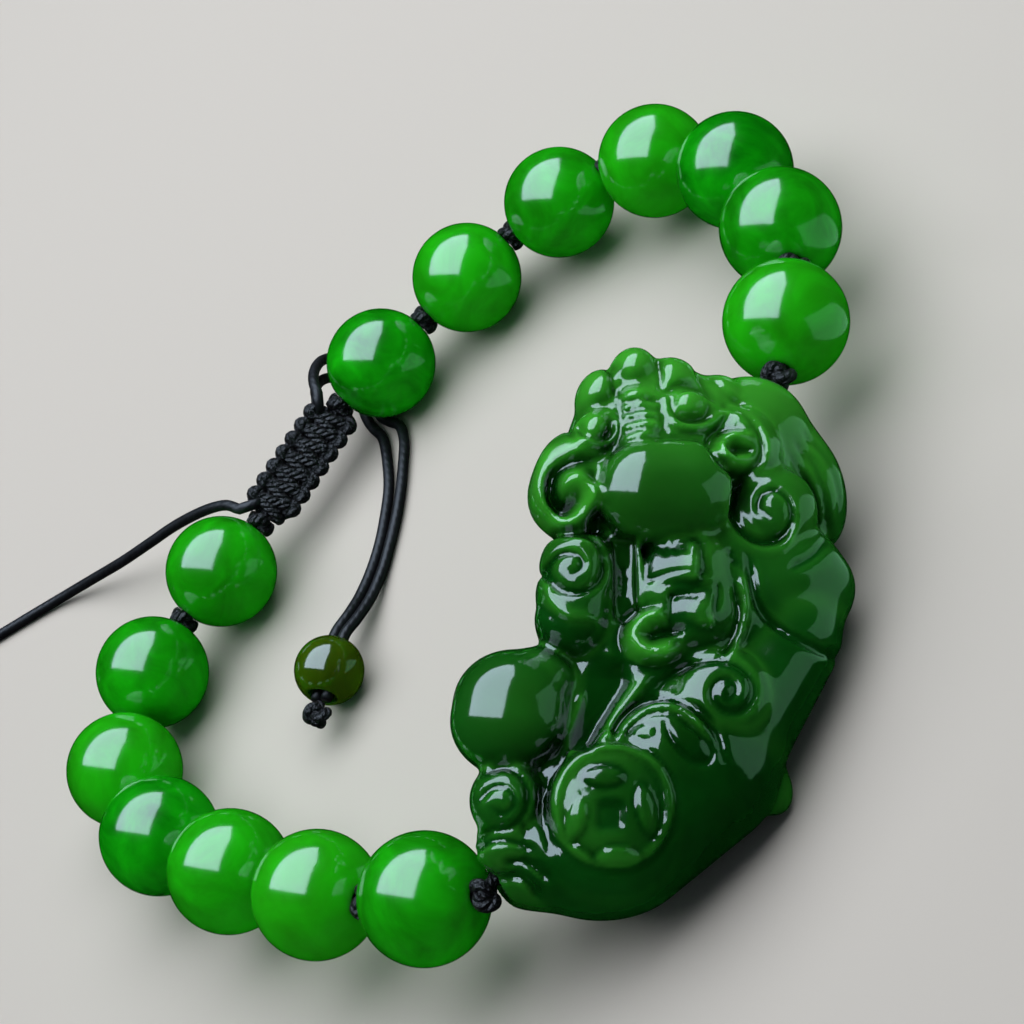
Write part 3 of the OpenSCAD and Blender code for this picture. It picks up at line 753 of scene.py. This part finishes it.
# Lines raised from the carving, in the same form
ridges = [
    ([(1.1, 15.4), (1.7, 13.7), (2.8, 13.2), (4.4, 13.5), (5.9, 14.9)], 0.3, 0.35),
    ([(-5.3, 13.9), (-5.2, 12.5), (-3.8, 11.9), (-2.6, 12.6), (-2.3, 13.9)], 0.26, 0.3),
    ([(6.9, 12.6), (5.7, 12.5), (5.1, 11.6), (5.7, 10.8), (7.2, 10.8)], 0.48, 0.9),
    ([(-3.5, 12.1), (-5.5, 11.9), (-7.2, 11.3), (-8.1, 9.5), (-7.9, 7.6), (-6.5, 6.3), (-4.8, 6.8),
      (-4.5, 8.3),
      (-5.4, 9.2), (-6.2, 8.8)], 0.55, 0.8),
    ([(-7.8, 1.6), (-7.2, 0.1), (-6.0, -0.9), (-4.5, -1.0)], 0.45, 0.6),
    ([(-6.1, 4.6), (-4.4, 4.3), (-3.3, 3.0)], 0.3, 0.25),
    ([(0.4, -0.8), (-0.8, -1.0), (-1.6, -2.1), (-0.9, -3.3), (0.3, -3.6), (1.5, -3.3)], 0.52, 0.8),
    ([(-2.8, -9.6), (-1.8, -8.2), (-0.1, -7.3), (1.9, -7.7), (3.5, -9.5)], 0.3, 0.3),
    ([(6.4, 2.4), (6.7, 0.2), (6.3, -1.8), (5.3, -3.5)], 0.36, 0.5),
    ([(-5.0, -6.0), (-5.7, -8.7), (-6.2, -10.5)], 0.3, 0.4),
    ([(-0.4, -5.0), (-2.8, -8.0), (-3.8, -9.9)], 0.32, 0.45),
    ([(1.8, 0.1), (2.4, -0.5), (2.9, -0.3)], 0.6, 0.3),
    ([(6.0, 15.1), (7.6, 14.1), (8.7, 12.6), (8.7, 11.0)], 0.3, 0.25),
    ([(5.6, 9.0), (5.3, 7.2), (5.9, 5.3), (7.6, 4.3), (9.6, 4.5), (10.9, 6.0)], 0.32, 0.25),
]

# Facets of the mouth and the bridge, turned to face up and left: middle, half sizes and height
facets = dict(
    rows=[((1.1, 3.1), (2.0, 1.5), 2.3), ((2.5, -0.4), (1.7, 1.3), 2.1), ((-0.5, 14.0), (1.1, 1.4), 1.1)],
    riseRight=0.31, fallUp=0.19, curve=1.4, sunk=0.42, edge=5,
)

# Hollow of the chest, deeper to the right, and the gap beside the mouth, which has a flat floor
hollow = dict(heights=(-11.0, -8.0, -5.4, -3.2), lefts=(-6.9, -5.9, -5.0, -4.6),
              rights=(-5.3, -3.6, -2.0, -1.9), depth=1.4, edge=5)
gap = dict(left=-2.7, right=-1.15, low=-0.9, high=5.1, floor=6.1)

# Front coin: rim, square hole and the four marks round it, each with a groove outside it
coin = dict(
    middle=(-3.3, -14.4), rim=4.35, inner=3.75, rimHeight=0.3, fieldDepth=0.15, fieldEdge=0.12,
    grooveDepth=0.25, groovePlace=0.15, grooveWidth=0.2,
    holeMiddle=(-3.6, -15.2), hole=0.95, holeDepth=0.4, holeEdge=0.09, holePower=6,
    marks=[(-4.0, -12.5, 1.55, 0.75, 0), (-5.9, -15.4, 0.7, 1.5, 10), (-1.0, -14.8, 0.75, 1.8, -12),
           (-2.9, -18.0, 1.6, 0.7, 4)],
    markHeight=0.4, markGroove=0.3, markGroovePlace=1.12, markGrooveWidth=0.15,
)

# Drilled dots beside the mouth
dots = dict(places=[(-1.9, 2.8), (-1.8, 2.0), (-1.9, 1.2), (5.7, 3.9), (5.9, 3.3)], depth=0.35, width=0.26)


def groove(distance, depth, width):
    return depth * np.exp(-(distance / width) ** 2)


def sink(distance, depth, edge):
    return depth / (1 + np.exp(distance / edge))


def pad(distance, height):
    return height * np.clip(1 - distance ** 4, 0, 1)


def turnBack(x, y, degrees):
    c, s = math.cos(math.radians(degrees)), math.sin(math.radians(degrees))
    return c * x - s * y, s * x + c * y


def awayFrom(middle, across, up):
    # how far every point of the map is to the right of and above the middle
    return np.meshgrid(across - middle[0], up - middle[1], indexing="ij")


def strokeField(across, up, points, width):
    # 1 on the line, falling to 0 beside it, and thinner at its two ends
    steps, straightPoints, taperRate, taperEnd = 6, 8, 7, 0.35
    path = smoothPath(points, steps) if len(points) > 2 else np.linspace(points[0], points[1], straightPoints)
    best = np.zeros((len(across), len(up)), np.float32)
    reach = 3 * width + 0.1
    for k in range(len(path) - 1):
        a, b = path[k], path[k + 1]
        i0, i1 = np.searchsorted(across, (min(a[0], b[0]) - reach, max(a[0], b[0]) + reach))
        j0, j1 = np.searchsorted(up, (min(a[1], b[1]) - reach, max(a[1], b[1]) + reach))
        x, y = awayFrom(a, across[i0:i1], up[j0:j1])
        along = b - a
        share = np.clip((x * along[0] + y * along[1]) / (along @ along), 0, 1)
        distance = np.hypot(x - share * along[0], y - share * along[1])
        run = (k + share) / (len(path) - 1)
        taper = np.clip(np.minimum(run, 1 - run) * taperRate + taperEnd, 0, 1)
        best[i0:i1, j0:j1] = np.maximum(best[i0:i1, j0:j1], groove(distance, taper, width))
    return best


def hollowField(across, up):
    heights, edge = hollow["heights"], hollow["edge"]
    left, right = np.interp(up, heights, hollow["lefts"]), np.interp(up, heights, hollow["rights"])
    share = (across[:, None] - left) / (right - left)
    run = (up - heights[0]) / (heights[-1] - heights[0])
    ends = np.clip(np.minimum(run, 1 - run) * edge, 0, 1)
    return hollow["depth"] * ends * np.clip(share, 0, 1) * np.clip((1 - share) * edge + 1, 0, 1)


def reliefMap(across, up):
    # how far the carver's lines raise or lower the front, in millimetres
    low = np.zeros((len(across), len(up)), np.float32)
    high, slant = np.zeros_like(low), np.zeros_like(low)
    for points, width, depth in cuts:
        low = np.maximum(low, depth * strokeField(across, up, points, width * carving["widen"]))
    for points, width, depth in ridges:
        high = np.maximum(high, depth * strokeField(across, up, points, width))
    for middle, (wide, tall), height in facets["rows"]:
        x, y = awayFrom(middle, across, up)
        share = np.clip(0.5 + facets["riseRight"] * x / wide - facets["fallUp"] * y / tall, 0, 1)
        inside = np.clip((1 - np.abs(x) / wide) * facets["edge"], 0, 1) * np.clip(
            (1 - np.abs(y) / tall) * facets["edge"], 0, 1)
        slant += height * (share ** facets["curve"] - facets["sunk"]) * inside
    low = np.maximum(low, hollowField(across, up))
    r = np.hypot(*awayFrom(coin["middle"], across, up))
    rimMiddle, rimHalf = (coin["rim"] + coin["inner"]) / 2, (coin["rim"] - coin["inner"]) / 2
    high = np.maximum(high, pad(np.abs(r - rimMiddle) / rimHalf, coin["rimHeight"]))
    low = np.maximum(low, sink(r - coin["inner"], coin["fieldDepth"], coin["fieldEdge"]))
    low = np.maximum(low, groove(r - coin["rim"] - coin["groovePlace"],
                                 coin["grooveDepth"], coin["grooveWidth"]))
    x, y = awayFrom(coin["holeMiddle"], across, up)
    power = coin["holePower"]
    square = ((np.abs(x) / coin["hole"]) ** power + (np.abs(y) / coin["hole"]) ** power) ** (1 / power)
    low = low + sink(square - 1, coin["holeDepth"], coin["holeEdge"])
    for u, v, wide, tall, turn in coin["marks"]:
        x, y = turnBack(*awayFrom((u, v), across, up), turn)
        q = np.hypot(x / wide, y / tall)
        high = np.maximum(high, pad(q, coin["markHeight"]))
        low = np.maximum(low, groove(q - coin["markGroovePlace"],
                                     coin["markGroove"], coin["markGrooveWidth"]))
    for place in dots["places"]:
        distance = np.hypot(*awayFrom(place, across, up))
        low = np.maximum(low, groove(distance, dots["depth"], dots["width"]))
    return high - low + slant


def ellipsoidDistance(x, y, z, form):
    u, v, t, wide, tall, deep, turn = form
    a, b = turnBack(x - u, y - v, turn)
    d = z - t
    near = np.sqrt((a / wide) ** 2 + (b / tall) ** 2 + (d / deep) ** 2)
    slope = np.sqrt((a / wide ** 2) ** 2 + (b / tall ** 2) ** 2 + (d / deep ** 2) ** 2) + 1e-6
    return near * (near - 1) / slope


def smoothJoin(first, second, blend):
    share = np.clip(0.5 + 0.5 * (first - second) / blend, 0, 1)
    return first * (1 - share) + second * share - blend * share * (1 - share)


def carveField(axes):
    # about how far each grid point is from the forms, negative inside
    field = np.full([len(a) for a in axes], carving["outside"], np.float32)
    sweep = carving["sweep"]
    for forms, blend in (("bigForms", "blend"), ("fineForms", "fineBlend")):
        for row in carving[forms]:
            steps = [row[0]]
            for a, b in zip(row, row[1:]):
                way = np.array(b) - np.array(a)
                steps += [tuple(np.array(a) + way * k / sweep) for k in range(1, sweep + 1)]
            far = np.array([[max(s[3], s[4]), max(s[3], s[4]), s[5]] for s in steps]) + carving["reach"]
            middles = np.array([s[:3] for s in steps])
            low, high = (middles - far).min(0), (middles + far).max(0)
            cut = tuple(slice(*np.searchsorted(axis, (l, h))) for axis, l, h in zip(axes, low, high))
            x, y, z = np.meshgrid(*[axis[c] for axis, c in zip(axes, cut)], indexing="ij", sparse=True)
            near = ellipsoidDistance(x, y, z, steps[0])
            for form in steps[1:]:
                near = np.minimum(near, ellipsoidDistance(x, y, z, form))
            field[cut] = smoothJoin(field[cut], near, carving[blend])
    return field


cellCorners = [np.array((i, j, k)) for i in (0, 1) for j in (0, 1) for k in (0, 1)]


def surfaceNet(field, axes):
    # one point in each cell that the surface crosses, and a face across each crossed edge
    inside = field < 0
    total = np.zeros([n - 1 for n in field.shape], np.int8)
    for corner in cellCorners:
        total += inside[tuple(slice(c, n - 1 + c) for c, n in zip(corner, field.shape))]
    cells = np.argwhere((total > 0) & (total < 8))
    index = np.full(total.shape, -1)
    index[tuple(cells.T)] = np.arange(len(cells))
    place, count = np.zeros((len(cells), 3)), np.zeros(len(cells))
    for a in cellCorners:
        for b in cellCorners:
            if (b - a).sum() == 1 and (b - a).min() == 0:
                first, second = field[tuple((cells + a).T)], field[tuple((cells + b).T)]
                crossed = (first < 0) != (second < 0)
                share = np.where(crossed, first / np.where(crossed, first - second, 1), 0)
                place += np.where(crossed[:, None], a + share[:, None] * (b - a), 0)
                count += crossed
    points = cells + place / count[:, None]
    quads = []
    for axis in range(3):
        first, second = [d for d in range(3) if d != axis]
        lower, upper = [slice(None)] * 3, [slice(None)] * 3
        lower[axis], upper[axis] = slice(0, -1), slice(1, None)
        a, b = inside[tuple(lower)], inside[tuple(upper)]
        nodes = np.argwhere(a != b)
        nodes = nodes[(nodes[:, first] > 0) & (nodes[:, second] > 0)]
        ring = []
        for du, dv in ((-1, -1), (0, -1), (0, 0), (-1, 0)):
            cell = nodes.copy()
            cell[:, first] += du
            cell[:, second] += dv
            ring.append(index[tuple(cell.T)])
        ring = np.stack(ring, 1)
        flip = a[tuple(nodes.T)] == (axis == 1)
        ring[flip] = ring[flip][:, ::-1]
        quads.append(ring)
    quads = np.vstack(quads)
    quads = quads[(quads >= 0).all(1)]
    step = axes[0][1] - axes[0][0]
    return points * step + np.array([axis[0] for axis in axes]), quads, points


def sampleField(field, places):
    # value of the field between its grid points
    low = np.clip(np.floor(places).astype(int), 0, np.array(field.shape) - 2)
    share = np.clip(places - low, 0, 1)
    value = np.zeros(len(places))
    for corner in cellCorners:
        value += np.where(corner, share, 1 - share).prod(1) * field[tuple((low + corner).T)]
    return value


def soften(field, weight):
    # every point becomes a mean with its neighbours, its own value weighted
    for axis in (0, 1, 2):
        field = (np.roll(field, 1, axis) + weight * field + np.roll(field, -1, axis)) / (weight + 2)
    return field


def ramp(values, ends):
    return np.clip((values - ends[0]) / (ends[1] - ends[0]), 0, 1)


# Painted light and shade on the pendant: a painted glow where light would come through the stone, and painted
# shade where little light gets in. A pair is the two ends of a ramp
litParts = dict(
    thinDepth=2.4, paintedGlow=0.7, raised=0.6, facing=(0.0, 4.0),
    head=0.28, headUp=(-2.0, 10.0),
    brow=0.55, browUp=(9.0, 17.0), browAcross=(-6.0, 0.0),
    ball=0.22, ballMiddle=(-9.8, -7.2), ballWidth=4.0,
    openReach=(0.8, 1.8, 3.0), open=(0.08, 0.88),
    back=0.45, backUp=(-6.0, -16.0), backAcross=(-4.2, 1.8),
)


def litMasks(field, relief, points, places):
    # painted glow at each point, from how thin or raised the stone is, and painted shade, from how closed the
    # space in front of it is, darker towards the lower right of the body
    reach = 1.5  # grid cells on each side that a slope is taken over
    slope = np.stack([sampleField(field, places + d) - sampleField(field, places - d)
                      for d in np.eye(3) * reach], 1)
    outward = slope / (np.linalg.norm(slope, axis=1)[:, None] + 1e-9) / carving["step"]
    # painted shade: where the space in front of the surface is closed, as in hollows, the stone is darkened
    clear = [np.clip(sampleField(field, places + outward * d) / d, 0, 1) for d in litParts["openReach"]]
    inner = sampleField(field, places - outward * litParts["thinDepth"]) / litParts["thinDepth"]
    raised = sampleField(np.repeat(relief[:, :, None], 2, 2), places * (1, 1, 0))
    u, v, t = points.T
    head = litParts["head"] * ramp(v, litParts["headUp"])
    brow = litParts["brow"] * ramp(v, litParts["browUp"]) * ramp(u, litParts["browAcross"])
    ball = groove(np.hypot(u - litParts["ballMiddle"][0], v - litParts["ballMiddle"][1]),
                  litParts["ball"], litParts["ballWidth"])
    # darker towards the lower right of the body, by the same mix as the painted shade
    back = litParts["back"] * ramp(v, litParts["backUp"]) * ramp(u, litParts["backAcross"])
    # painted glow: paler where the stone is thin or raised, at the top of the head, at the brow and round the
    # ball, on the front only
    paintedGlow = np.clip(litParts["paintedGlow"] * (1 + inner) + litParts["raised"] * raised + head + brow + ball, 0, 1)
    return paintedGlow * ramp(t, litParts["facing"]), ramp(np.mean(clear, 0), litParts["open"]) * (1 - back)


def makePendant():
    axes = [np.arange(low, high, carving["step"]) for low, high in zip(carving["low"], carving["high"])]
    field = carveField(axes)
    relief = reliefMap(axes[0], axes[1])
    for _ in range(carving["polish"]):
        field = soften(field, 2)
    u, v, t = np.meshgrid(*axes, indexing="ij", sparse=True)
    side = np.maximum(np.maximum(gap["left"] - u, u - gap["right"]),
                      np.maximum(gap["low"] - v, v - gap["high"]))
    field = np.maximum(field, np.minimum(t - gap["floor"], -side))
    front = ramp(axes[2], (carving["reliefFrom"], carving["reliefFull"]))
    field -= relief[:, :, None] * (front ** 2 * (3 - 2 * front))[None, None, :]
    field = soften(field, 4)
    lean = math.radians(carving["lean"])
    along = math.sin(lean) * u + math.cos(lean) * v
    beside = np.hypot(-math.cos(lean) * u + math.sin(lean) * v, t)
    seat = np.maximum(beside - carving["seatRadius"], loop["pendantHalf"] - np.abs(along))
    field = np.maximum(np.maximum(field, carving["boreRadius"] - beside), -seat)
    turn = np.array(Matrix.Rotation(math.radians(90 - carving["tilt"]), 3, "X")
                    @ Matrix.Rotation(math.radians(carving["lean"] - 90), 3, "Z"))
    height = loop["boreHeight"] + turn[2][0] * u + turn[2][1] * v + turn[2][2] * t
    for past in (carving["heightLow"] - height, height - carving["heightHigh"]):
        field = -smoothJoin(-field, -past, carving["trim"])
    points, quads, places = surfaceNet(field, axes)
    paintedGlow, opened = litMasks(field, relief, points, places)
    placed = fromPendant(points @ turn.T + np.array([0, 0, loop["boreHeight"]]))
    piece = addMesh("carvedPendant", placed, quads, materials=[pendantJade])
    # the painted glow and the painted shade, kept on the points for the pendant's material
    for name, values in (("paintedGlow", paintedGlow), ("open", opened)):
        layer = piece.data.attributes.new(name, "FLOAT", "POINT")
        layer.data.foreach_set("value", values.astype(np.float32))
    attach(piece, "root")
    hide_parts("pendant")
    print("pendant faces", len(quads))


makePendant()
print("pendant carved")

# Floor and light
studio = dict(
    floorSize=4.0, floorColour=(0.76, 0.755, 0.745), worldColour=(0.8, 0.85, 0.9), worldStrength=0.06,
    softboxPlace=(0.105, 0.09, 0.35), softboxSize=(0.66, 0.48), softboxTurn=-14.0,
    fillPower=1.85, fillColour=(1.0, 0.98, 0.95),
)


# Shapes that only the polished surfaces reflect: the softbox above, and a dim green glow low in front
reflectionCards = dict(
    cardAbove=dict(
        corners=[(-0.24, 0.36, 0.35), (0.2, 0.335, 0.35), (0.68, 0.2, 0.35), (0.3, -0.06, 0.35),
                 (-0.14, -0.19, 0.35)],
        colour=(0.68, 0.82, 1.0), strength=5.6),
    cardRight=dict(
        corners=[(0.019, -0.096, 0.042), (0.085, -0.068, -0.012), (0.067, -0.015, -0.056),
                 (0.002, -0.095, -0.012)],
        colour=(0.4, 1.0, 0.6), strength=0.6),
)


def makeStudio():
    half = studio["floorSize"] / 2 / mm
    material, tree, shader = newMaterial("paleFloor")
    setInputs(tree, shader, {
        "Base Color": studio["floorColour"], "Roughness": 0.9, "Specular IOR Level": 0.1})
    floor = addMesh("floor", [(-half, -half, 0), (half, -half, 0), (half, half, 0), (-half, half, 0)],
                    [(0, 1, 2, 3)], materials=[material])
    floor.visible_glossy = False
    world = bpy.data.worlds.new("studioWorld")
    world.use_nodes = True
    setInputs(world.node_tree, world.node_tree.nodes["Background"],
              {"Color": studio["worldColour"], "Strength": studio["worldStrength"]})
    world.cycles_visibility.glossy = False
    bpy.context.scene.world = world
    bpy.context.scene.view_settings.view_transform = "Standard"
    light = bpy.data.lights.new("softbox", "AREA")
    light.shape = "RECTANGLE"
    light.size, light.size_y = studio["softboxSize"]
    light.energy = studio["fillPower"]
    light.color = studio["fillColour"]
    lamp = bpy.data.objects.new("softbox", light)
    lamp.location = studio["softboxPlace"]
    lamp.rotation_euler = (0, 0, math.radians(studio["softboxTurn"]))
    lamp.visible_camera = False
    lamp.visible_glossy = False
    bpy.context.collection.objects.link(lamp)
    for name, card in reflectionCards.items():
        material = bpy.data.materials.new(name)
        material.use_nodes = True
        tree, corners = material.node_tree, np.array(card["corners"]) / mm
        tree.nodes.clear()
        glow = addNode(tree, "ShaderNodeEmission", {"Color": card["colour"], "Strength": card["strength"]})
        addNode(tree, "ShaderNodeOutputMaterial", {"Surface": glow.outputs[0]})
        face = addMesh(name, corners, [range(len(corners))], materials=[material])
        face.visible_camera = face.visible_diffuse = face.visible_shadow = face.visible_transmission = False


makeStudio()
print("studio set")

bpy.context.view_layer.update()
